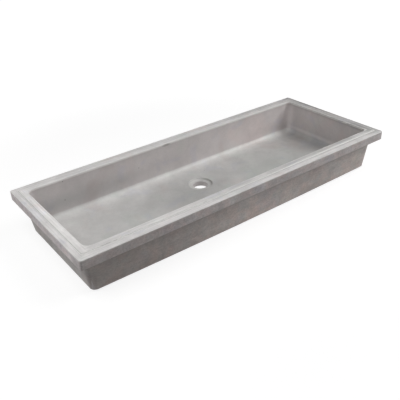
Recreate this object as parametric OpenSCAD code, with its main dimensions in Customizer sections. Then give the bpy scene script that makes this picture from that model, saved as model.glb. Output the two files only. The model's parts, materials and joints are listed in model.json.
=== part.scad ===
// Long rectangular trough sink: one cast concrete basin with a flat flange rim,
// a shallow tapered bowl that falls to one round drain, and buried steel bars.
// Millimetres. +X runs along the length, the front faces -Y, +Z is up.
// The origin is under the middle of the basin, on the surface it stands on.

/* [Overall] */
// Length over the rim
overall_len = 1219.2; // [900:0.1:1500]
// Width over the rim, front to back
overall_wid = 482.6; // [380:0.1:620]
// Height from the lowest part of the underside to the top of the rim
overall_hgt = 148; // [120:0.5:200]

/* [Rim] */
// Width of the rim top at the two ends
rim_end_wid = 39.5; // [34:0.5:60]
// Width of the rim top at the front and the back
rim_side_wid = 44.5; // [38:0.5:70]
// Height of the rim's upright outer edge
rim_edge_hgt = 34; // [24:0.5:50]
// Radius of the rim's upright outer corners
rim_corner_rad = 7; // [4:0.5:20]
// Radius along the top and bottom of the rim's outer edge
rim_arris_rad = 2; // [1:0.1:3]
// Width of the raised inner band of the rim top
band_wid = 20; // [12:0.5:26]
// Height of the raised inner band above the outer land
band_rise = 2; // [0.5:0.1:3]
// Run of the sloped face between the band and the land
band_run = 1.5; // [1:0.1:5]
// Fall of the outer land towards the outer edge
land_fall = 1; // [0.2:0.1:3]

/* [Bowl] */
// Corner radius of the bowl at the rim top
mouth_corner_rad = 22; // [18:0.5:50]
// Lean of the bowl's inner walls from upright, in degrees
wall_lean = 3; // [2:0.25:5]
// Radius between the bowl's walls and its floor
floor_fillet_rad = 15; // [8:0.5:30]
// Radius along the edge between the rim top and the bowl
mouth_arris_rad = 2.5; // [1:0.1:4]
// Fall of the floor from its edges to the drain
floor_fall = 4; // [3:0.25:9]
// Thickness of the floor beside the drain recess
floor_thk = 22; // [18:0.5:30]

/* [Tub outside] */
// Step in from the rim's outer edge to the top of the tub
tub_step = 21; // [14:0.5:28]
// Lean of the tub's outer faces from upright, in degrees
tub_lean = 8.5; // [5:0.25:11]
// Radius of the tub's upright corners at the top
tub_corner_rad = 34; // [28:0.5:60]
// Rise of the underside from the middle to the two ends
underside_rise = 6; // [3:0.25:9]

/* [Drain] */
// Distance of the drain behind the middle of the basin
drain_back = 63; // [40:0.5:90]
// Diameter of the straight drain bore
drain_bore_dia = 52; // [40:0.5:56]
// Diameter of the drain recess at the floor
recess_dia = 87; // [76:0.5:100]
// Depth of the drain recess at its outer wall
recess_wall_hgt = 2.5; // [1:0.1:3]
// Fall of the recess from its outer wall to the bore
recess_fall = 1.7; // [1:0.1:2.5]
// Run of the recess's sloped outer wall
recess_wall_run = 2.5; // [2:0.5:8]
// Bevel at the top of the bore
bore_bevel = 0.8; // [0.5:0.1:2]

/* [Buried bars] */
// Diameter of the bar hoop inside the rim
hoop_dia = 5; // [4:0.25:8]
// Distance of the rim hoop's centreline from the rim's outer edge
hoop_inset = 20; // [14:0.5:24]
// Diameter of the wires inside the floor and the walls
wire_dia = 3; // [2.5:0.1:3.5]
// Concrete under the lowest wire where the floor is shallowest
wire_cover = 4; // [3:0.25:6]
// Concrete between the tub's outer face and a wire's upright leg
wall_cover = 3; // [2:0.25:4.5]
// Upright space between the cross wires and the long wires
wire_layer_gap = 0.8; // [0.7:0.05:1.2]
// Bend radius of the wires, to their centreline
wire_bend_rad = 12; // [8:0.5:16]
// Concrete over the upper ends of the wires
wire_top_cover = 12; // [8:0.5:16]
// Distance of the first and last cross wires from the rim's ends
cross_end = 159.6; // [130:0.1:190]
// Distance of the front long wire from the rim's front edge
long_front = 105; // [90:0.5:120]
// Distance of the nearest long wire in front of the drain's middle
long_before = 68; // [60:0.5:72]
// Distance of the back long wire behind the drain's middle
long_behind = 76; // [70:0.5:84]
// Centreline radius of the hoop round the drain
drain_hoop_rad = 34; // [30:0.5:42]
// Space between a bar and the concrete cast round it
bed_gap = 0.15; // [0.1:0.05:0.3]

/* [Hidden] */
over = 40;
sweep_fn = 48;
bend_fn = 24;
wire_fn = 14;
bore_fn = 64;

half_len = overall_len / 2;
half_wid = overall_wid / 2;
top_z = overall_hgt;
rim_low_z = top_z - rim_edge_hgt;
land_in_z = top_z - band_rise;
land_out_z = land_in_z - land_fall;

// Bowl
mouth_half_len = half_len - rim_end_wid;
mouth_half_wid = half_wid - rim_side_wid;
floor_low_z = floor_thk;
floor_edge_z = floor_low_z + floor_fall;
wall_in = (top_z - floor_edge_z) * tan(wall_lean);
corner_left = mouth_corner_rad - wall_in - 1;
fillet_reach = cos(wall_lean) - (1 - sin(wall_lean)) * tan(wall_lean);
fillet_rad = min(floor_fillet_rad, corner_left / fillet_reach);
floor_rad = mouth_corner_rad - wall_in - fillet_rad * fillet_reach;
fillet_bite = 0.002;
core_half_len = mouth_half_len - mouth_corner_rad;
core_half_wid = mouth_half_wid - mouth_corner_rad;

// Tub
tub_half_len = half_len - tub_step;
tub_half_wid = half_wid - tub_step;
tub_in = rim_low_z * tan(tub_lean);
under_parts = 9;
under_flat = tub_half_len / under_parts;
under_curve = 1.5;

// Drain
bore_rad = drain_bore_dia / 2;
recess_rad = recess_dia / 2;
recess_wall_low_z = floor_low_z - recess_wall_hgt;
recess_low_z = recess_wall_low_z - recess_fall;
bore_top_z = recess_low_z - bore_bevel;
recess_spread = recess_wall_run / recess_wall_hgt;

// Buried bars
hoop_z = (rim_low_z + land_out_z) / 2;
hoop_bend_rad = hoop_inset;
cross_z = underside_rise + wire_cover + wire_dia / 2;
long_z = cross_z + wire_dia + wire_layer_gap;
drain_hoop_z = wire_cover + wire_dia / 2;

// Distance in from the rim's outer edge to an upright leg that rises from z
function leg_in(z) =
    tub_step + (rim_low_z - z) * tan(tub_lean) + wall_cover + wire_dia / 2;

// Height at which a leg stops, short of the leaning wall and of the rim top
function leg_top(in, rim_wid, z) =
    let (
        wall_gap = in + wire_dia / 2 + wall_cover - rim_wid,
        wall_top = top_z - max(0, wall_gap) / tan(wall_lean),
        least = z + wire_bend_rad + wire_dia
    )
    max(least, min(top_z - wire_top_cover, wall_top));

// Height of the underside at a distance x from the middle
function under_z(x) =
    underside_rise
    * pow(max(0, (x - under_flat) / (tub_half_len - under_flat)), under_curve);

// A slice of a disc from angle a to angle b
module pie(rad, a, b) {
    mid = (a + b) / 2;
    far = 2 * rad;
    intersection() {
        circle(r = rad, $fn = sweep_fn);
        polygon([
            [0, 0],
            far * [cos(a), sin(a)],
            far * [cos(mid), sin(mid)] * sqrt(2),
            far * [cos(b), sin(b)]
        ]);
    }
}

// A solid swept round a rounded rectangle. The child is the half profile,
// drawn from the corner's axis outwards; the core stands from low to high.
module sweep_round(hl, hw, rad, low, high) {
    run = hl - rad;
    side = hw - rad;
    for (sx = [-1, 1], sy = [-1, 1]) {
        turn = (sx > 0) ? ((sy > 0) ? 0 : 270) : ((sy > 0) ? 90 : 180);
        translate([sx * run, sy * side, 0])
            rotate([0, 0, turn])
                rotate_extrude(angle = 90, $fn = sweep_fn)
                    children();
    }
    for (turn = [0, 180]) {
        rotate([0, 0, turn])
            translate([run, side, 0])
                rotate([90, 0, 0])
                    linear_extrude(height = 2 * side)
                        children();
        rotate([0, 0, turn])
            translate([-run, side, 0])
                rotate([90, 0, 90])
                    linear_extrude(height = 2 * run)
                        children();
    }
    translate([-run, -side, low])
        cube([2 * run, 2 * side, high - low]);
}

// Half profile of the rim plate, rounded along both outer arrises
module rim_profile() {
    r = rim_arris_rad;
    inner = rim_corner_rad - r;
    polygon([
        [0, rim_low_z],
        [inner, rim_low_z],
        [rim_corner_rad, rim_low_z + r],
        [rim_corner_rad, land_out_z - r],
        [inner, land_out_z],
        [0, land_out_z]
    ]);
    translate([inner, rim_low_z + r])
        pie(r, -90, 0);
    translate([inner, land_out_z - r])
        pie(r, 0, 90);
}

// Outline of the rim's land and raised band along one side of the basin
module rim_top_profile(half, rim_wid) {
    edge = half - rim_arris_rad;
    foot = half - rim_wid + band_wid + band_run;
    low = rim_low_z + rim_arris_rad;
    polygon([
        [-edge, low],
        [edge, low],
        [edge, land_out_z],
        [foot, land_in_z],
        [foot - band_run, top_z],
        [-(foot - band_run), top_z],
        [-foot, land_in_z],
        [-edge, land_out_z]
    ]);
}

// Sloped land and raised band of the rim, mitred at the corners
module rim_top() {
    inner = rim_corner_rad - rim_arris_rad;
    intersection() {
        rotate([90, 0, 0])
            linear_extrude(height = overall_wid, center = true)
                rim_top_profile(half_len, rim_end_wid);
        rotate([90, 0, 90])
            linear_extrude(height = overall_len, center = true)
                rim_top_profile(half_wid, rim_side_wid);
        sweep_round(
            half_len - rim_arris_rad, half_wid - rim_arris_rad,
            inner, rim_low_z, top_z + over
        )
            translate([0, rim_low_z])
                square([inner, rim_edge_hgt + over]);
    }
}

// Half profile of the tub's outside, drawn down past the underside
module tub_profile() {
    grip = rim_edge_hgt / 4;
    lean = tan(tub_lean);
    polygon([
        [0, 0],
        [tub_corner_rad - tub_in, 0],
        [tub_corner_rad + grip * lean, rim_low_z + grip],
        [0, rim_low_z + grip]
    ]);
}

// Half profile of the bowl: leaning wall, floor fillet and rounded mouth
module bowl_profile() {
    fill_z = floor_edge_z + fillet_rad;
    fill_end = [
        floor_rad + fillet_rad * cos(wall_lean),
        fill_z - fillet_rad * sin(wall_lean)
    ];
    a = mouth_arris_rad;
    arris = [
        mouth_corner_rad - a * tan(wall_lean) + a / cos(wall_lean),
        top_z - a
    ];
    polygon([
        [0, floor_edge_z],
        [floor_rad, floor_edge_z],
        fill_end,
        [mouth_corner_rad, top_z],
        [mouth_corner_rad, top_z + over],
        [0, top_z + over]
    ]);
    intersection() {
        translate([floor_rad, fill_z])
            circle(r = fillet_rad + fillet_bite, $fn = sweep_fn);
        translate([0, floor_low_z])
            square([mouth_corner_rad, fill_z - floor_low_z]);
    }
    difference() {
        polygon([
            arris + 2 * a * [-cos(wall_lean), sin(wall_lean)],
            arris,
            [arris[0], top_z + over],
            [0, top_z + over]
        ]);
        translate(arris)
            circle(r = a + fillet_bite, $fn = sweep_fn);
    }
}

// Side view of the fall of the floor towards the drain
module fall_profile(half, drain) {
    polygon([
        [-half, floor_edge_z],
        [drain - bore_rad, floor_low_z],
        [drain + bore_rad, floor_low_z],
        [half, floor_edge_z],
        [half, floor_edge_z + fillet_rad / 2],
        [-half, floor_edge_z + fillet_rad / 2]
    ]);
}

module floor_fall_cut() {
    intersection() {
        rotate([90, 0, 0])
            linear_extrude(height = 2 * core_half_wid, center = true)
                fall_profile(core_half_len, 0);
        rotate([90, 0, 90])
            linear_extrude(height = 2 * core_half_len, center = true)
                fall_profile(core_half_wid, drain_back);
    }
}

// Recess, bevel and bore of the drain as one turned cut
module drain_cut() {
    translate([0, drain_back, 0])
        rotate_extrude($fn = bore_fn)
            polygon([
                [0, -over],
                [bore_rad, -over],
                [bore_rad, bore_top_z],
                [bore_rad + bore_bevel, recess_low_z],
                [recess_rad - recess_wall_run, recess_wall_low_z],
                [recess_rad + floor_fall * recess_spread, floor_edge_z],
                [0, floor_edge_z]
            ]);
}

// Everything below the gently arched underside
module underside_cut() {
    step = 2 * tub_half_len / under_parts;
    arch = [
        for (i = [0:under_parts])
            let (x = -tub_half_len + i * step)
                [x, under_z(abs(x))]
    ];
    rotate([90, 0, 0])
        linear_extrude(height = overall_wid, center = true)
            polygon(concat(
                arch,
                [[tub_half_len, -over], [-tub_half_len, -over]]
            ));
}

// One wire bent up at both ends, lying along X; grow widens it into its bed
module bent_wire(half_run, z, top, grow) {
    dia = wire_dia + 2 * grow;
    straight = half_run - wire_bend_rad;
    bend_z = z + wire_bend_rad;
    translate([-straight, 0, z])
        rotate([0, 90, 0])
            cylinder(h = 2 * straight, d = dia, $fn = wire_fn);
    for (turn = [0, 180])
        rotate([0, 0, turn]) {
            translate([straight, 0, bend_z])
                rotate([90, 0, 0])
                    rotate([0, 0, -90])
                        rotate_extrude(angle = 90, $fn = bend_fn)
                            translate([wire_bend_rad, 0])
                                circle(d = dia, $fn = wire_fn);
            translate([half_run, 0, bend_z])
                cylinder(h = top - bend_z + grow, d = dia, $fn = wire_fn);
        }
}

module long_wire_at(y, grow = 0) {
    in = leg_in(long_z);
    translate([0, y, 0])
        bent_wire(half_len - in, long_z, leg_top(in, rim_end_wid, long_z), grow);
}

module cross_wire_at(x, grow = 0) {
    in = leg_in(cross_z);
    translate([x, 0, 0])
        rotate([0, 0, 90])
            bent_wire(half_wid - in, cross_z, leg_top(in, rim_side_wid, cross_z), grow);
}

// Places of the long wires, from the front to the back
long_places = [
    long_front - half_wid,
    (long_front - half_wid + drain_back - long_before) / 2,
    drain_back - long_before,
    drain_back + long_behind
];

// Places of the cross wires, evenly from the left to the right
cross_reach = half_len - cross_end;
cross_gaps = 5;
cross_places = [for (i = [0:cross_gaps]) cross_reach * (2 * i / cross_gaps - 1)];

// Closed bar that follows the rim
module rim_hoop_bar(grow = 0) {
    dia = hoop_dia + 2 * grow;
    run = half_len - hoop_inset - hoop_bend_rad;
    side = half_wid - hoop_inset - hoop_bend_rad;
    translate([0, 0, hoop_z]) {
        for (turn = [0, 180])
            rotate([0, 0, turn]) {
                translate([-run, side + hoop_bend_rad, 0])
                    rotate([0, 90, 0])
                        cylinder(h = 2 * run, d = dia, $fn = wire_fn);
                translate([run + hoop_bend_rad, side, 0])
                    rotate([90, 0, 0])
                        cylinder(h = 2 * side, d = dia, $fn = wire_fn);
            }
        for (sx = [-1, 1], sy = [-1, 1]) {
            turn = (sx > 0) ? ((sy > 0) ? 0 : 270) : ((sy > 0) ? 90 : 180);
            translate([sx * run, sy * side, 0])
                rotate([0, 0, turn])
                    rotate_extrude(angle = 90, $fn = bend_fn)
                        translate([hoop_bend_rad, 0])
                            circle(d = dia, $fn = wire_fn);
        }
    }
}

// Closed wire ring round the drain
module drain_hoop_bar(grow = 0) {
    translate([0, drain_back, drain_hoop_z])
        rotate_extrude($fn = sweep_fn)
            translate([drain_hoop_rad, 0])
                circle(d = wire_dia + 2 * grow, $fn = wire_fn);
}

module basin() {
    color([0.62, 0.61, 0.60])
        difference() {
            union() {
                sweep_round(half_len, half_wid, rim_corner_rad, rim_low_z, land_out_z)
                    rim_profile();
                rim_top();
                sweep_round(
                    tub_half_len, tub_half_wid, tub_corner_rad,
                    0, rim_low_z + rim_edge_hgt / 4
                )
                    tub_profile();
            }
            sweep_round(
                mouth_half_len, mouth_half_wid, mouth_corner_rad,
                floor_edge_z, top_z + over
            )
                bowl_profile();
            floor_fall_cut();
            drain_cut();
            underside_cut();
            rim_hoop_bar(bed_gap);
            drain_hoop_bar(bed_gap);
            for (y = long_places)
                long_wire_at(y, bed_gap);
            for (x = cross_places)
                cross_wire_at(x, bed_gap);
        }
}

module rim_hoop() {
    color([0.55, 0.56, 0.58])
        rim_hoop_bar();
}

module drain_hoop() {
    color([0.55, 0.56, 0.58])
        drain_hoop_bar();
}

module long_wire(n) {
    color([0.58, 0.59, 0.61])
        long_wire_at(long_places[n - 1]);
}

module cross_wire(n) {
    color([0.58, 0.59, 0.61])
        cross_wire_at(cross_places[n - 1]);
}

basin();
rim_hoop();
drain_hoop();
long_wire(1);  // long_wire_1
long_wire(2);  // long_wire_2
long_wire(3);  // long_wire_3
long_wire(4);  // long_wire_4
cross_wire(1);  // cross_wire_1
cross_wire(2);  // cross_wire_2
cross_wire(3);  // cross_wire_3
cross_wire(4);  // cross_wire_4
cross_wire(5);  // cross_wire_5
cross_wire(6);  // cross_wire_6
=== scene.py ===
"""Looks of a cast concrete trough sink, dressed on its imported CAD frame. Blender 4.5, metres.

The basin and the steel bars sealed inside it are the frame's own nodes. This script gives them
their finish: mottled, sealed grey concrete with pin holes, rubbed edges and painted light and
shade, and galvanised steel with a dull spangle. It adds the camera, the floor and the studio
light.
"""

import math
from types import SimpleNamespace

import bpy
from mathutils import Matrix, Vector
import json


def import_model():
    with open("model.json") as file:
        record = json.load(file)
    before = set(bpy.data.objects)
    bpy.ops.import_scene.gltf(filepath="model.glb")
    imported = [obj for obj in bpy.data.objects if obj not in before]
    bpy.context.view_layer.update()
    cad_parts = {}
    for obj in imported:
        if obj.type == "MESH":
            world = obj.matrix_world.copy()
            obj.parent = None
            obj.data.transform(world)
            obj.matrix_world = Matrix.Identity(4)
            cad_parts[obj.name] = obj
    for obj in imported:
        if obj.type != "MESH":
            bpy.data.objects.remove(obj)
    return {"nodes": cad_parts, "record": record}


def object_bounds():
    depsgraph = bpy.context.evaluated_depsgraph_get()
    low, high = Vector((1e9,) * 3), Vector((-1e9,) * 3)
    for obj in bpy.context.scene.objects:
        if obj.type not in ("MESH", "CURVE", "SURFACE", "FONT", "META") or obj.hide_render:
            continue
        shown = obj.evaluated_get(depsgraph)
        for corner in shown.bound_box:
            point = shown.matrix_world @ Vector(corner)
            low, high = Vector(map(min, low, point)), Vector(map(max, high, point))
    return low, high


WHITE = (1.0, 1.0, 1.0, 1.0)

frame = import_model()
cad_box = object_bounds()

# The basin's outline, its drain and the underside of its rim, as the frame has them
HALF_LENGTH, HALF_WIDTH, RIM_TOP = cad_box[1]
MOUNTS = {mount["name"]: mount["pos_m"] for mount in frame["record"]["mounts"]}
DRAIN = MOUNTS["drain"]
UNDER_RIM = MOUNTS["rim_underside"][2]

# ---------------------------------------------------------------- camera, floor and light

# Camera: where it stands (metres), the way it looks and its lens (millimetres)
CAMERA_PLACE = Vector((-1.02246, -1.33928, 0.97802))
CAMERA_AZIMUTH = math.radians(-35.987)
CAMERA_ELEVATION = math.radians(30.528)
CAMERA_ROLL = math.radians(-2.538)
CAMERA_LENS = 49.87
CAMERA_SENSOR = 36.0
CAMERA_NEAR = 0.01
CAMERA_FAR = 100.0

# Floor: its size, its drop below the basin, and its colour as seen and as it lights the basin
FLOOR_HALF = 20.0
FLOOR_DROP = 0.0004
FLOOR_COLOUR = (0.86, 0.86, 0.86, 1.0)
FLOOR_BOUNCE = (0.58, 0.58, 0.58, 1.0)
FLOOR_SHADOW_SHARE = 0.30
# The floor's own white: near the basin, where its shadow lies, and far off
FLOOR_WHITE = (1.20, 1.48)
FLOOR_NEAR = 0.70
FLOOR_FAR = 1.90

# Lamps: place, the point that they aim at, size, power in watts
MIDDLE = (0.0, 0.0, 0.08)
LEFT_END = (-0.55, 0.0, 0.10)
LAMPS = {
    "lamp_left": ((-1.431, 0.0, 0.839), LEFT_END, 0.8, 1.9),
    "lamp_left_high": ((-0.943, 0.0, 1.181), LEFT_END, 0.8, 6.4),
    "lamp_right": ((1.844, -1.065, 1.571), MIDDLE, 1.4, 29.5),
    "lamp_right_high": ((1.126, -0.650, 2.332), MIDDLE, 1.4, 13.5),
    "lamp_back": ((0.728, 2.001, 1.571), MIDDLE, 1.4, 5.0),
}
WORLD_LEVEL = 0.01

# ---------------------------------------------------------------- where the finish lies

# A face's upward lean, from the faces cast upright to those that lie flat
FLAT_LEAN = (0.10, 0.42)
# The height where the rim's top begins
RIM_HEIGHT = (RIM_TOP - 0.006, RIM_TOP - 0.0045)
# The tub's outside lies within this distance of the outline, under the rim
TUB_SKIN = 0.0385
# The rim's edge: its distance from the outline, and the upward lean where it ends and is whole
RIM_FACE_SKIN = 0.0035
RIM_FACE_LEAN = (0.75, 0.35)
# A face's sideways lean, from the long faces to those at the basin's ends
END_LEAN = (0.5, 0.8)
# Painted light in the bowl's front and back coves: upward lean, height, distance from the middle
# line
COVE_LEAN = (0.12, 0.45)
COVE_TOP = 0.060
COVE_SIDE = (0.138, 0.178)

# ---------------------------------------------------------------- concrete: colours

FLAT_COLOUR = (0.574, 0.565, 0.553, 1.0)
UPRIGHT_COLOUR = (0.612, 0.576, 0.570, 1.0)
# Worn edges, partly painted highlight
RUBBED_AND_LIT_COLOUR = (0.84, 0.83, 0.81, 1.0)
# Grime, and the painted shadow under the rim; also the darker line at the step's foot
GRIME_AND_SHADE_COLOUR = (0.30, 0.27, 0.26, 1.0)
# Painted shade inside the pin holes
PIT_SHADE_COLOUR = (0.12, 0.11, 0.105, 1.0)
STAIN_COLOUR = (0.22, 0.20, 0.19, 1.0)
RIM_TINT = (1.005, 0.996, 1.004, 1.0)
RIM_LEVEL = 1.30
RIM_FACE_TINT = (0.84, 0.805, 0.800, 1.0)
# Painted light on the rim's end faces
RIM_END_LIGHT = (1.16, 1.14, 1.15, 1.0)
TUB_TINT = (0.880, 0.838, 0.805, 1.0)
# Painted shade on the tub's end faces
TUB_END_SHADE = (0.66, 0.65, 0.645, 1.0)
# Painted light in the bowl's coves
COVE_PAINTED_LIGHT = (1.17, 1.17, 1.17, 1.0)
# Cool and warm patches on the rim's edge and the tub's outside
OUTER_COOL = (0.978, 1.010, 1.018, 1.0)
OUTER_WARM = (1.024, 0.990, 0.978, 1.0)

# ---------------------------------------------------------------- concrete: texture
# A noise is its scale, detail, roughness and, where it has one, distortion. Its span is the
# range of it that shows and, where it isn't 0 to 1, what that range becomes.

# Tints: colour, noise scale, shift, the noise where it starts and is full, share
TINTS = (
    ((1.000, 0.950, 0.940, 1.0), 7.0, (3.1, 1.7, 0.4), 0.52, 0.70, 0.80),
    ((0.955, 1.000, 0.970, 1.0), 8.5, (8.2, 4.4, 2.9), 0.52, 0.68, 0.60),
    ((0.950, 0.960, 1.000, 1.0), 14.0, (5.5, 9.3, 6.1), 0.54, 0.68, 0.90),
)
# The tints' detail, roughness and distortion
TINT_NOISE = (3.0, 0.55, 0.6)
# Clouds: noise scale, detail, depth of the change in level; then their roughness and distortion
CLOUDS = ((4.5, 3.0, 0.30), (13.0, 3.0, 0.46), (60.0, 3.0, 0.12), (150.0, 3.0, 0.10))
CLOUD_NOISE = (0.6, 0.3)
UPRIGHT_CLOUDS = 0.75
# Fine grain and specks
GRAIN_NOISE = (420.0, 3.0, 0.6)
GRAIN_DEPTH = 0.16
SPECK_NOISE = (1500.0, 2.0, 0.6)
SPECK_DEPTH = 0.10
# Float marks: how the noise is stretched on the rim's long sides and on its ends
STREAK_ALONG = (9.0, 220.0, 60.0)
STREAK_ACROSS = (220.0, 9.0, 60.0)
STREAK_NOISE = (1.0, 3.0, 0.6)
STREAK_SPAN = (0.32, 0.68, -0.5, 0.5)
STREAK_DEPTH = 0.23
# Drags, blotches, coarse grain and warmer patches of the outer faces
OUTER_SPAN = (0.30, 0.70, -0.5, 0.5)
DRAG_STRETCH = (11.0, 11.0, 170.0)
DRAG_NOISE = (1.0, 4.0, 0.65, 0.4)
DRAG_DEPTH = 0.10
BLOTCH_SHIFT = (2.2, 7.1, 0.9)
BLOTCH_NOISE = (26.0, 4.0, 0.6, 0.5)
BLOTCH_DEPTH = 0.18
COARSE_STRETCH = (150.0, 150.0, 190.0)
COARSE_NOISE = (1.0, 3.0, 0.7)
COARSE_DEPTH = 0.24
WARM_SHIFT = (6.1, 2.7, 3.3)
WARM_NOISE = (24.0, 3.0, 0.6, 0.5)
WARM_SPAN = (0.38, 0.62)
# Painted shadow under the rim: the height where it starts and where it is full, and its share
# there
RIM_SHADOW_FROM = UNDER_RIM - 0.026
RIM_SHADOW_TO = UNDER_RIM - 0.013
RIM_SHADOW_SHARE = 0.62
# The patches of grime all over the tub
GRIME_STRETCH = (10.0, 10.0, 24.0)
GRIME_NOISE = (1.0, 5.0, 0.65, 0.5)
GRIME_SPAN = (0.42, 0.72)
GRIME_SHARE = 0.27
# Roughness, and how much a pin hole adds to it
ROUGHNESS = (0.36, 0.52)
ROUGH_NOISE = (26.0, 4.0, 0.6)
ROUGH_SPAN = (0.25, 0.75)
PIT_ROUGHNESS = 0.25
# Relief: the radius of the creases, then the distance and strength of each bump
CREASE_RADIUS = 0.0018
SWAY_NOISE = (34.0, 3.0, 0.5)
SWAY_RELIEF = (0.0006, 0.55)
GRAIN_RELIEF = (0.00012, 0.6)
PIT_RELIEF = (0.0006, 0.8)

# ---------------------------------------------------------------- concrete: lines and marks

# Worn lines, partly painted highlight: distance in from the ends and from the sides, reach,
# strength
WORN_AND_LIT_LINES = (
    (0.0010, 0.0010, 0.0022, 0.7),
    # the step's line: wear, and painted light over the step's shade
    (0.0190, 0.0240, 0.0034, 1.7),
    (0.0386, 0.0436, 0.0034, 1.0),
)
# The share of a line's reach where it is full, the height where the lines begin, their breaks
WORN_AND_LIT_CORE = 0.3
WORN_AND_LIT_HEIGHT = (RIM_TOP - 0.008, RIM_TOP - 0.005)
WORN_AND_LIT_NOISE = (38.0, 4.0, 0.7)
WORN_AND_LIT_BREAKS = (0.36, 0.56, 0.35, 1.0)
RUBBED_AND_LIT_SHARE = 0.70
# The darker line along the step's foot: distance in from the ends and from the sides, reach
STEP_FOOT_LINE = (0.0150, 0.0200, 0.0030)
STEP_FOOT_SHARE = 0.22
# Both kinds of line grow stronger from left to right: from x, to x, from share, to share
WORN_AND_LIT_RISE = (-0.30, 0.45, 0.80, 1.80)
STEP_FOOT_RISE = (-0.30, 0.40, 0.50, 2.00)

# Pin holes left by air: cells per metre, radius of a hole, share of the cells that hold one
PITS = ((16.0, 0.0016, 0.30), (55.0, 0.0007, 0.22))
# The share of a hole's radius where it is full, and how much of its painted shade shows
PIT_CORE = 0.55
PIT_SHADE_SHARE = 0.75
# Pin holes that stand out on the back wall: place, half sizes; then the share that fades
NAMED_PITS = (
    ((-0.4510, 0.196, 0.1387), (0.0022, 0.006, 0.0022)),
    ((-0.4555, 0.193, 0.0732), (0.0024, 0.006, 0.0024)),
    ((-0.1686, 0.194, 0.0926), (0.0022, 0.006, 0.0022)),
)
NAMED_PIT_SOFT = 0.5
# Smudge under the back rim: place, half sizes; then the share that fades, its breaks, how much
# of its colour shows
STAIN = ((-0.046, 0.197, 0.1425), (0.024, 0.010, 0.0060))
STAIN_SOFT = 0.7
STAIN_BREAKS = (0.30, 0.60, 0.5, 1.0)
STAIN_SHARE = 0.6

# Painted light and shade in broad patches: place, half sizes, tint
PAINTED_LIGHT_AND_SHADE = (
    # back wall: painted shade towards its left end, painted light towards its right end
    ((-0.36, 0.195, 0.060), (0.26, 0.05, 0.080), (0.80, 0.82, 0.82, 1.0)),
    ((0.36, 0.195, 0.095), (0.46, 0.05, 0.110), (1.24, 1.23, 1.23, 1.0)),
    # bowl's left end, low down: painted shade
    ((-0.565, 0.08, 0.040), (0.04, 0.12, 0.060), (0.88, 0.90, 0.89, 1.0)),
    # bowl floor: painted shade in its middle and right, painted light at its back left corner
    ((-0.10, 0.03, 0.028), (0.27, 0.13, 0.030), (0.76, 0.76, 0.76, 1.0)),
    ((0.30, -0.02, 0.028), (0.22, 0.14, 0.030), (0.88, 0.91, 0.89, 1.0)),
    ((-0.16, -0.06, 0.028), (0.08, 0.05, 0.030), (1.00, 0.96, 0.97, 1.0)),
    ((-0.50, 0.12, 0.028), (0.14, 0.09, 0.030), (1.12, 1.12, 1.12, 1.0)),
    # back wall's foot: painted shade at its left end, painted light at its right end
    ((-0.50, 0.190, 0.070), (0.15, 0.05, 0.040), (0.84, 0.86, 0.86, 1.0)),
    ((0.48, 0.185, 0.036), (0.16, 0.03, 0.022), (1.18, 1.18, 1.18, 1.0)),
    # soft light all along the back wall's foot and up its right-hand corner
    ((0.10, 0.192, 0.040), (0.66, 0.030, 0.038), (1.06, 1.06, 1.06, 1.0)),
    ((0.552, 0.188, 0.085), (0.036, 0.036, 0.085), (1.28, 1.28, 1.28, 1.0)),
    # tub front: painted shade at its left end, painted light low down in its middle and at its
    # right
    ((-0.54, -0.21, 0.080), (0.26, 0.05, 0.100), (0.66, 0.65, 0.64, 1.0)),
    ((0.03, -0.20, 0.010), (0.42, 0.06, 0.085), (1.46, 1.45, 1.44, 1.0)),
    ((0.50, -0.20, 0.010), (0.20, 0.06, 0.085), (1.30, 1.27, 1.26, 1.0)),
    # rim top: painted light at its left end, painted shade at its right end
    ((-0.578, -0.02, 0.148), (0.022, 0.60, 0.020), (1.12, 1.12, 1.12, 1.0)),
    ((0.615, 0.00, 0.148), (0.110, 0.60, 0.020), (0.68, 0.68, 0.68, 1.0)),
    # rim top, all painted: light at the back; at the front, a shaded inner band and a lit outer
    # land
    ((0.14, 0.215, 0.148), (0.26, 0.060, 0.020), (1.07, 1.07, 1.08, 1.0)),
    ((0.32, -0.207, 0.148), (0.42, 0.020, 0.020), (0.83, 0.83, 0.83, 1.0)),
    ((0.20, -0.233, 0.147), (0.48, 0.015, 0.020), (1.13, 1.13, 1.13, 1.0)),
    # rim top: more painted shade at its front right corner and along its right outer land
    ((0.580, -0.165, 0.148), (0.045, 0.090, 0.020), (0.66, 0.66, 0.66, 1.0)),
    ((0.605, 0.140, 0.148), (0.022, 0.160, 0.020), (0.62, 0.62, 0.62, 1.0)),
    # light on the upper back wall and on the rim's front edge
    ((-0.20, 0.195, 0.115), (0.26, 0.05, 0.050), (1.16, 1.16, 1.16, 1.0)),
    ((-0.10, -0.241, 0.130), (0.18, 0.02, 0.030), (1.15, 1.15, 1.15, 1.0)),
    # tub front, high up: painted shade to the left of its middle, painted light in it
    ((-0.32, -0.210, 0.090), (0.16, 0.05, 0.035), (0.84, 0.84, 0.84, 1.0)),
    ((0.05, -0.210, 0.090), (0.27, 0.05, 0.035), (1.16, 1.16, 1.16, 1.0)),
    # left end of the rim's edge: painted light towards the front
    ((-0.610, -0.165, 0.118), (0.020, 0.080, 0.042), (1.25, 1.25, 1.25, 1.0)),
    # right inner wall: painted light, then a painted pale line and softer painted light at its
    # foot
    ((0.566, 0.03, 0.120), (0.03, 0.36, 0.075), (1.20, 1.19, 1.19, 1.0)),
    ((0.5645, 0.03, 0.046), (0.014, 0.26, 0.012), (1.26, 1.28, 1.28, 1.0)),
    ((0.5530, 0.03, 0.030), (0.022, 0.26, 0.020), (1.14, 1.16, 1.15, 1.0)),
)

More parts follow.
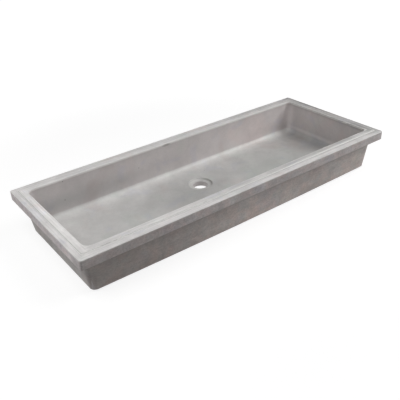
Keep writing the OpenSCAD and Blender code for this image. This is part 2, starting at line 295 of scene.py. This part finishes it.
# Painted light and shade in the drain recess, all below a set height: light on its left and back,
# and shade along its right edge. Each is the radii where it starts, is full, ends and is gone,
# its lean to the right and to the back, the span of that lean, and its tint.
RECESS_BELOW = 0.030
RECESS_LIGHT_AND_SHADE = (
    ((0.0255, 0.0275, 0.0385, 0.0420), (-0.85, 0.50), (-0.35, 0.75), (1.26, 1.26, 1.24, 1.0)),
    ((0.0340, 0.0395, 0.0430, 0.0480), (0.98, -0.05), (0.50, 0.98), (0.66, 0.65, 0.64, 1.0)),
)

# ---------------------------------------------------------------- galvanised steel

ZINC_DARK = (0.52, 0.53, 0.55, 1.0)
ZINC_PALE = (0.71, 0.72, 0.74, 1.0)
SPANGLE_SCALE = 420.0
# The white bloom that grows on the zinc, and how metallic it is
BLOOM_COLOUR = (0.66, 0.67, 0.67, 1.0)
BLOOM_NOISE = (60.0, 5.0, 0.65)
BLOOM_SPAN = (0.46, 0.64)
BLOOM_SHARE = 0.45
BLOOM_METAL = 0.55
# Roughness of the bare zinc and of the bloom
ZINC_ROUGHNESS = (0.34, 0.72)
DRIP_NOISE = (130.0, 3.0, 0.6)
DRIP_RELIEF = (0.0003, 0.5)
FROST_NOISE = (900.0, 3.0)
FROST_RELIEF = (0.0001, 0.5)


# ---------------------------------------------------------------- node helpers


class Nodes:
    """Short hands for the node tree of a material or world. What builds nodes takes it as n."""

    def __init__(self, owner):
        owner.use_nodes = True
        self.tree = owner.node_tree
        self.tree.nodes.clear()

    def add(self, kind, **inputs):
        node = self.tree.nodes.new("ShaderNode" + kind)
        for name, value in inputs.items():
            self.feed(node, name.replace("_", " "), value)
        return node

    def feed(self, node, name, value):
        self.fill(node.inputs[name], value)

    def fill(self, socket, value):
        if isinstance(value, bpy.types.NodeSocket):
            self.tree.links.new(value, socket)
        else:
            socket.default_value = value

    def math(self, operation, first, second=0.0, clamp=False, third=0.0):
        node = self.add("Math")
        node.operation = operation
        node.use_clamp = clamp
        for place, value in enumerate((first, second, third)):
            self.feed(node, place, value)
        return node.outputs[0]

    def product(self, first, *others):
        for other in others:
            first = self.math("MULTIPLY", first, other)
        return first

    def vector(self, operation, first, second=(0.0, 0.0, 0.0)):
        node = self.add("VectorMath")
        node.operation = operation
        self.feed(node, 0, first)
        self.feed(node, 1, second)
        return node.outputs["Value" if operation == "LENGTH" else "Vector"]

    def moved(self, where, shift):
        return self.vector("ADD", where, shift)

    def stretched(self, where, factors):
        return self.vector("MULTIPLY", where, factors)

    def scaled(self, colour, level):
        node = self.add("VectorMath")
        node.operation = "SCALE"
        self.feed(node, 0, colour)
        self.feed(node, "Scale", level)
        return node.outputs["Vector"]

    def split(self, where):
        return tuple(self.add("SeparateXYZ", Vector=where).outputs)

    def mixed(self, factor, first, second):
        node = self.add("Mix")
        for place, value in ((0, factor), (2, first), (3, second)):
            self.feed(node, place, value)
        return node.outputs[0]

    def span(self, value, low, high, to_low=0.0, to_high=1.0):
        node = self.add("MapRange", Value=value, From_Min=low, From_Max=high)
        node.interpolation_type = "SMOOTHSTEP"
        self.feed(node, "To Min", to_low)
        self.feed(node, "To Max", to_high)
        return node.outputs["Result"]

    def noise(self, where, scale, detail=2.0, rough=0.5, distortion=0.0):
        node = self.add("TexNoise", Vector=where, Scale=scale, Detail=detail,
                        Roughness=rough, Distortion=distortion)
        return node.outputs["Fac"]

    def blend(self, factor, first, second, kind="MIX"):
        node = self.add("Mix")
        node.data_type = "RGBA"
        node.blend_type = kind
        sockets = {socket.identifier: socket for socket in (*node.inputs, *node.outputs)}
        self.fill(sockets["Factor_Float"], factor)
        self.fill(sockets["A_Color"], first)
        self.fill(sockets["B_Color"], second)
        return sockets["Result_Color"]

    def tinted(self, factor, colour, tint):
        return self.blend(factor, colour, tint, "MULTIPLY")

    def bump(self, height, relief, normal=None):
        distance, strength = relief
        node = self.add("Bump", Height=height, Distance=distance, Strength=strength)
        if normal is not None:
            self.feed(node, "Normal", normal)
        return node.outputs["Normal"]

    def finish(self, kind, shader):
        self.feed(self.add(kind), "Surface", shader.outputs[0])


# ---------------------------------------------------------------- concrete


def places(n):
    """Where a point of the basin lies, and how much it belongs to each kind of face.

    end, side and edge are its distances in from the outline, lean is how far its face looks up,
    and grain is the fine noise there. The kinds of face go from 0 to 1.
    """
    at = SimpleNamespace(where=n.add("TexCoord").outputs["Object"])
    at.x, at.y, at.z = n.split(at.where)
    sideways, _, at.lean = n.split(n.add("NewGeometry").outputs["Normal"])
    at.end = n.math("SUBTRACT", HALF_LENGTH, n.math("ABSOLUTE", at.x))
    at.side = n.math("SUBTRACT", HALF_WIDTH, n.math("ABSOLUTE", at.y))
    at.edge = n.math("MINIMUM", at.end, at.side)
    at.flat = n.span(at.lean, *FLAT_LEAN)
    at.rim = n.span(at.z, *RIM_HEIGHT)
    at.end_face = n.span(n.math("ABSOLUTE", sideways), *END_LEAN)
    at.tub = n.product(
        n.math("LESS_THAN", at.z, UNDER_RIM),
        n.math("LESS_THAN", at.edge, TUB_SKIN),
    )
    at.rim_face = n.product(
        n.math("LESS_THAN", at.edge, RIM_FACE_SKIN),
        n.span(at.lean, *RIM_FACE_LEAN),
        n.math("GREATER_THAN", at.z, UNDER_RIM),
    )
    at.outer = n.math("MAXIMUM", at.rim_face, at.tub)
    at.grain = n.noise(at.where, *GRAIN_NOISE)
    return at


def contour(n, at, end_at, side_at):
    """Distance to a line that runs round the rim at a set distance from its ends and sides."""
    from_end = n.math("SUBTRACT", at.end, end_at)
    from_side = n.math("SUBTRACT", at.side, side_at)
    return n.math("ABSOLUTE", n.math("MINIMUM", from_end, from_side))


def mark(n, at, place, size, soft=1.0):
    """An oval mark round a place: 1 in its middle, 0 outside."""
    away = n.vector("DIVIDE", n.vector("SUBTRACT", at.where, place), size)
    return n.span(n.vector("LENGTH", away), 1.0 - soft, 1.0, 1.0, 0.0)


def cast_colour(n, at):
    """Grey of the flat faces and of the faces cast upright, with clouds and faint tints."""
    colour = n.blend(at.flat, UPRIGHT_COLOUR, FLAT_COLOUR)
    for tint, scale, shift, low, high, share in TINTS:
        spot = n.noise(n.moved(at.where, shift), scale, *TINT_NOISE)
        colour = n.tinted(n.span(spot, low, high, 0.0, share), colour, tint)
    level = 0.0
    for scale, detail, depth in CLOUDS:
        cloud = n.noise(at.where, scale, detail, *CLOUD_NOISE)
        level = n.math("ADD", level, n.math("MULTIPLY_ADD", cloud, depth, third=-depth / 2))
    level = n.math("MULTIPLY_ADD", level, n.mixed(at.flat, UPRIGHT_CLOUDS, 1.0), third=1.0)
    colour = n.scaled(colour, level)
    specks = n.noise(at.where, *SPECK_NOISE)
    fleck = n.math("MULTIPLY_ADD", at.grain, GRAIN_DEPTH, third=1.0 - GRAIN_DEPTH / 2)
    fleck = n.math("SUBTRACT", fleck, SPECK_DEPTH / 2)
    return n.scaled(colour, n.math("MULTIPLY_ADD", specks, SPECK_DEPTH, third=fleck))


def float_marks(n, at, colour):
    """The rim's top is paler, with float marks that run along each of its sides."""
    along = n.noise(n.stretched(at.where, STREAK_ALONG), *STREAK_NOISE)
    across = n.noise(n.stretched(at.where, STREAK_ACROSS), *STREAK_NOISE)
    on_end = n.math("LESS_THAN", at.end, at.side)
    drawn = n.span(n.mixed(on_end, along, across), *STREAK_SPAN)
    streak = n.product(drawn, n.product(at.rim, STREAK_DEPTH))
    lift = n.math("MULTIPLY_ADD", at.rim, RIM_LEVEL - 1.0, third=1.0)
    colour = n.scaled(colour, n.math("ADD", streak, lift))
    return n.tinted(at.rim, colour, RIM_TINT)


def painted_light_and_shade(n, at, colour):
    """Painted light and shade in broad patches, each in its own place."""
    for place, size, tint in PAINTED_LIGHT_AND_SHADE:
        colour = n.tinted(mark(n, at, place, size), colour, tint)
    return colour


def recess_light_and_shade(n, at, colour):
    """The drain recess: painted light on its left and back, and painted shade along its right
    edge.
    """
    away = n.stretched(n.vector("SUBTRACT", at.where, DRAIN), (1.0, 1.0, 0.0))
    radius = n.vector("LENGTH", away)
    x, y, _ = n.split(away)
    right = n.math("DIVIDE", x, radius)
    back = n.math("DIVIDE", y, radius)
    low = n.math("LESS_THAN", at.z, RECESS_BELOW)
    for (start, full, end, gone), (to_right, to_back), leaning, tint in RECESS_LIGHT_AND_SHADE:
        band = n.product(n.span(radius, start, full), n.span(radius, end, gone, 1.0, 0.0))
        lean = n.math("MULTIPLY_ADD", right, to_right, third=n.product(back, to_back))
        colour = n.tinted(n.product(n.span(lean, *leaning), band, low), colour, tint)
    return colour


def outer_faces(n, at, colour):
    """The rim's edge and the tub's outside: darker and browner, blotched and coarser."""
    colour = n.tinted(at.tub, colour, TUB_TINT)
    # painted shade on the tub's end faces
    colour = n.tinted(n.product(at.tub, at.end_face), colour, TUB_END_SHADE)
    colour = n.tinted(at.rim_face, colour, RIM_FACE_TINT)
    # painted light on the rim's end faces
    colour = n.tinted(n.product(at.rim_face, at.end_face), colour, RIM_END_LIGHT)
    drag = n.span(n.noise(n.stretched(at.where, DRAG_STRETCH), *DRAG_NOISE), *OUTER_SPAN)
    blotch = n.span(n.noise(n.moved(at.where, BLOTCH_SHIFT), *BLOTCH_NOISE), *OUTER_SPAN)
    coarse = n.span(n.noise(n.stretched(at.where, COARSE_STRETCH), *COARSE_NOISE), *OUTER_SPAN)
    level = n.product(coarse, COARSE_DEPTH)
    level = n.math("MULTIPLY_ADD", drag, DRAG_DEPTH, third=level)
    level = n.math("MULTIPLY_ADD", blotch, BLOTCH_DEPTH, third=level)
    colour = n.scaled(colour, n.math("MULTIPLY_ADD", level, at.outer, third=1.0))
    warm = n.span(n.noise(n.moved(at.where, WARM_SHIFT), *WARM_NOISE), *WARM_SPAN)
    return n.tinted(at.outer, colour, n.blend(warm, OUTER_COOL, OUTER_WARM))


def cove_painted_light(n, at, colour):
    """Painted light in the coves at the bowl's front and back."""
    cove = n.product(
        n.span(at.lean, *COVE_LEAN),
        n.math("LESS_THAN", at.z, COVE_TOP),
        n.span(n.math("ABSOLUTE", at.y), *COVE_SIDE),
    )
    return n.tinted(cove, colour, COVE_PAINTED_LIGHT)


def rim_shadow_and_grime(n, at, colour):
    """Painted shadow under the rim, and grime in patches all over the tub's outside."""
    under = n.span(at.z, RIM_SHADOW_FROM, RIM_SHADOW_TO, 0.0, RIM_SHADOW_SHARE)
    patch = n.span(n.noise(n.stretched(at.where, GRIME_STRETCH), *GRIME_NOISE), *GRIME_SPAN)
    share = n.math("MAXIMUM", under, n.product(patch, GRIME_SHARE))
    return n.blend(n.product(share, at.tub), colour, GRIME_AND_SHADE_COLOUR)


def rim_lines(n, at, colour):
    """A darker line at the step's foot; worn lines, partly painted highlight, on the rim's edge,
    step and mouth.
    """
    end_at, side_at, reach = STEP_FOOT_LINE
    # a darker line at the step's foot
    foot_line = n.span(contour(n, at, end_at, side_at), 0.0, reach, STEP_FOOT_SHARE, 0.0)
    foot_line = n.product(foot_line, n.span(at.x, *STEP_FOOT_RISE), at.rim)
    colour = n.blend(foot_line, colour, GRIME_AND_SHADE_COLOUR)
    worn_and_lit = 0.0
    for end_at, side_at, reach, strength in WORN_AND_LIT_LINES:
        near = contour(n, at, end_at, side_at)
        line = n.span(near, reach * WORN_AND_LIT_CORE, reach, strength, 0.0)
        worn_and_lit = n.math("MAXIMUM", worn_and_lit, line)
    high = n.span(at.z, *WORN_AND_LIT_HEIGHT)
    broken = n.span(n.noise(at.where, *WORN_AND_LIT_NOISE), *WORN_AND_LIT_BREAKS)
    worn_and_lit = n.product(worn_and_lit, n.span(at.x, *WORN_AND_LIT_RISE), high, broken)
    return n.blend(n.product(worn_and_lit, RUBBED_AND_LIT_SHARE), colour, RUBBED_AND_LIT_COLOUR)


def pits(n, at):
    """Round pin holes: 1 inside a hole."""
    holes = 0.0
    for scale, radius, share in PITS:
        cell = n.add("TexVoronoi", Vector=at.where, Scale=scale, Randomness=1.0)
        size = radius * scale
        near = n.span(cell.outputs["Distance"], size * PIT_CORE, size, 1.0, 0.0)
        pick = n.add("SeparateColor", Color=cell.outputs["Color"]).outputs["Red"]
        holes = n.math("MAXIMUM", holes, n.product(near, n.math("LESS_THAN", pick, share)))
    for place, size in NAMED_PITS:
        holes = n.math("MAXIMUM", holes, mark(n, at, place, size, NAMED_PIT_SOFT))
    return holes


def stain(n, at, colour):
    """The smudge under the back rim, broken by the grain."""
    share = n.product(mark(n, at, *STAIN, STAIN_SOFT), n.span(at.grain, *STAIN_BREAKS))
    return n.blend(n.product(share, STAIN_SHARE), colour, STAIN_COLOUR)


def concrete():
    """Sealed cast concrete: clouds, faint tints, pin holes, float marks, rubbed edges, painted
    light and shade.
    """
    material = bpy.data.materials.new("cast_concrete")
    n = Nodes(material)
    at = places(n)
    colour = cast_colour(n, at)
    for step in (float_marks, painted_light_and_shade, recess_light_and_shade, outer_faces, cove_painted_light, rim_shadow_and_grime, rim_lines):
        colour = step(n, at, colour)
    holes = pits(n, at)
    # the pin holes' painted shade
    colour = n.blend(n.product(holes, PIT_SHADE_SHARE), colour, PIT_SHADE_COLOUR)
    colour = stain(n, at, colour)

    rough = n.span(n.noise(at.where, *ROUGH_NOISE), *ROUGH_SPAN, *ROUGHNESS)
    rough = n.math("ADD", rough, n.product(holes, PIT_ROUGHNESS), clamp=True)

    normal = n.add("Bevel", Radius=CREASE_RADIUS).outputs[0]
    normal = n.bump(n.noise(at.where, *SWAY_NOISE), SWAY_RELIEF, normal)
    normal = n.bump(at.grain, GRAIN_RELIEF, normal)
    normal = n.bump(n.math("SUBTRACT", 1.0, holes), PIT_RELIEF, normal)
    shader = n.add("BsdfPrincipled", Base_Color=colour, Roughness=rough, Normal=normal)
    n.finish("OutputMaterial", shader)
    return material


# ---------------------------------------------------------------- steel bars


def bar_steel():
    """Galvanised steel wire and bar: a fine spangle in the zinc and patches of pale bloom."""
    material = bpy.data.materials.new("bar_steel")
    n = Nodes(material)
    where = n.add("TexCoord").outputs["Object"]
    spangle = n.add("TexVoronoi", Vector=where, Scale=SPANGLE_SCALE)
    tone = n.add("SeparateColor", Color=spangle.outputs["Color"]).outputs["Red"]
    bloom = n.span(n.noise(where, *BLOOM_NOISE), *BLOOM_SPAN)
    zinc = n.blend(tone, ZINC_DARK, ZINC_PALE)
    colour = n.blend(n.product(bloom, BLOOM_SHARE), zinc, BLOOM_COLOUR)
    metal = n.span(bloom, 0.0, 1.0, 1.0, BLOOM_METAL)
    rough = n.span(bloom, 0.0, 1.0, *ZINC_ROUGHNESS)
    normal = n.bump(n.noise(where, *DRIP_NOISE), DRIP_RELIEF)
    normal = n.bump(n.noise(where, *FROST_NOISE), FROST_RELIEF, normal)
    shader = n.add("BsdfPrincipled", Base_Color=colour, Metallic=metal, Roughness=rough,
                   Normal=normal)
    n.finish("OutputMaterial", shader)
    return material


# ---------------------------------------------------------------- stage


def choice(n, share, first, second):
    """Two shaders mixed: the first where the share is 0, the second where it is 1."""
    mix = n.add("MixShader", Fac=share)
    n.feed(mix, 1, first.outputs[0])
    n.feed(mix, 2, second.outputs[0])
    return mix


def floor_material():
    """Near white to the eye, with a share of lit floor that holds the basin's shadow."""
    material = bpy.data.materials.new("pale_floor")
    n = Nodes(material)
    away = n.vector("LENGTH", n.add("TexCoord").outputs["Object"])
    level = n.span(away, FLOOR_NEAR, FLOOR_FAR, *FLOOR_WHITE)
    white = n.add("Emission", Color=WHITE, Strength=level)
    lit = n.add("BsdfDiffuse", Color=FLOOR_COLOUR)
    shown = choice(n, FLOOR_SHADOW_SHARE, white, lit)
    bounce = n.add("BsdfDiffuse", Color=FLOOR_BOUNCE)
    path = n.add("LightPath").outputs
    seen = n.math("MAXIMUM", path["Is Camera Ray"], path["Is Glossy Ray"])
    seen = n.math("MAXIMUM", seen, path["Is Transmission Ray"])
    n.finish("OutputMaterial", choice(n, seen, bounce, shown))
    return material


def floor():
    """A wide flat floor under the basin."""
    corners = ((-1, -1), (1, -1), (1, 1), (-1, 1))
    points = [(x * FLOOR_HALF, y * FLOOR_HALF, -FLOOR_DROP) for x, y in corners]
    mesh = bpy.data.meshes.new("floor")
    mesh.from_pydata(points, [], [range(len(points))])
    mesh.materials.append(floor_material())
    obj = bpy.data.objects.new("floor", mesh)
    bpy.context.scene.collection.objects.link(obj)


def world():
    """White to the eye, and a faint fill light on the basin."""
    made = bpy.data.worlds.new("studio")
    bpy.context.scene.world = made
    n = Nodes(made)
    light = n.add("Background", Color=WHITE, Strength=WORLD_LEVEL)
    white = n.add("Background", Color=WHITE, Strength=1.0)
    path = n.add("LightPath").outputs
    seen = n.math("MAXIMUM", path["Is Camera Ray"], path["Is Transmission Ray"])
    n.finish("OutputWorld", choice(n, seen, light, white))


def lamp(name, place, aim, size, power):
    """A round soft lamp that the camera doesn't see."""
    data = bpy.data.lights.new(name, "AREA")
    data.shape = "DISK"
    data.size = size
    data.energy = power
    obj = bpy.data.objects.new(name, data)
    obj.location = place
    obj.rotation_mode = "QUATERNION"
    obj.rotation_quaternion = (Vector(aim) - Vector(place)).to_track_quat("-Z", "Y")
    obj.visible_camera = False
    bpy.context.scene.collection.objects.link(obj)


def camera():
    """The photo's camera."""
    across, rise, roll = CAMERA_AZIMUTH, CAMERA_ELEVATION, CAMERA_ROLL
    flat = math.cos(rise)
    back = Vector((math.sin(across) * flat, -math.cos(across) * flat, math.sin(rise)))
    level = Vector((0.0, 0.0, 1.0)).cross(back).normalized()
    above = back.cross(level)
    right = math.cos(roll) * level + math.sin(roll) * above
    up = math.cos(roll) * above - math.sin(roll) * level
    data = bpy.data.cameras.new("camera")
    data.lens = CAMERA_LENS
    data.sensor_width = CAMERA_SENSOR
    data.clip_start = CAMERA_NEAR
    data.clip_end = CAMERA_FAR
    obj = bpy.data.objects.new("camera", data)
    facing = Matrix((right, up, back)).transposed().to_4x4()
    obj.matrix_world = Matrix.Translation(CAMERA_PLACE) @ facing
    bpy.context.scene.collection.objects.link(obj)
    bpy.context.scene.camera = obj


camera()
floor()
world()
for lamp_name, facts in LAMPS.items():
    lamp(lamp_name, *facts)
finishes = {"basin": concrete(), "bar": bar_steel()}
for name, node in frame["nodes"].items():
    node.data.materials.clear()
    node.data.materials.append(finishes["basin" if name == "basin" else "bar"])
bpy.context.scene.view_settings.view_transform = "Standard"
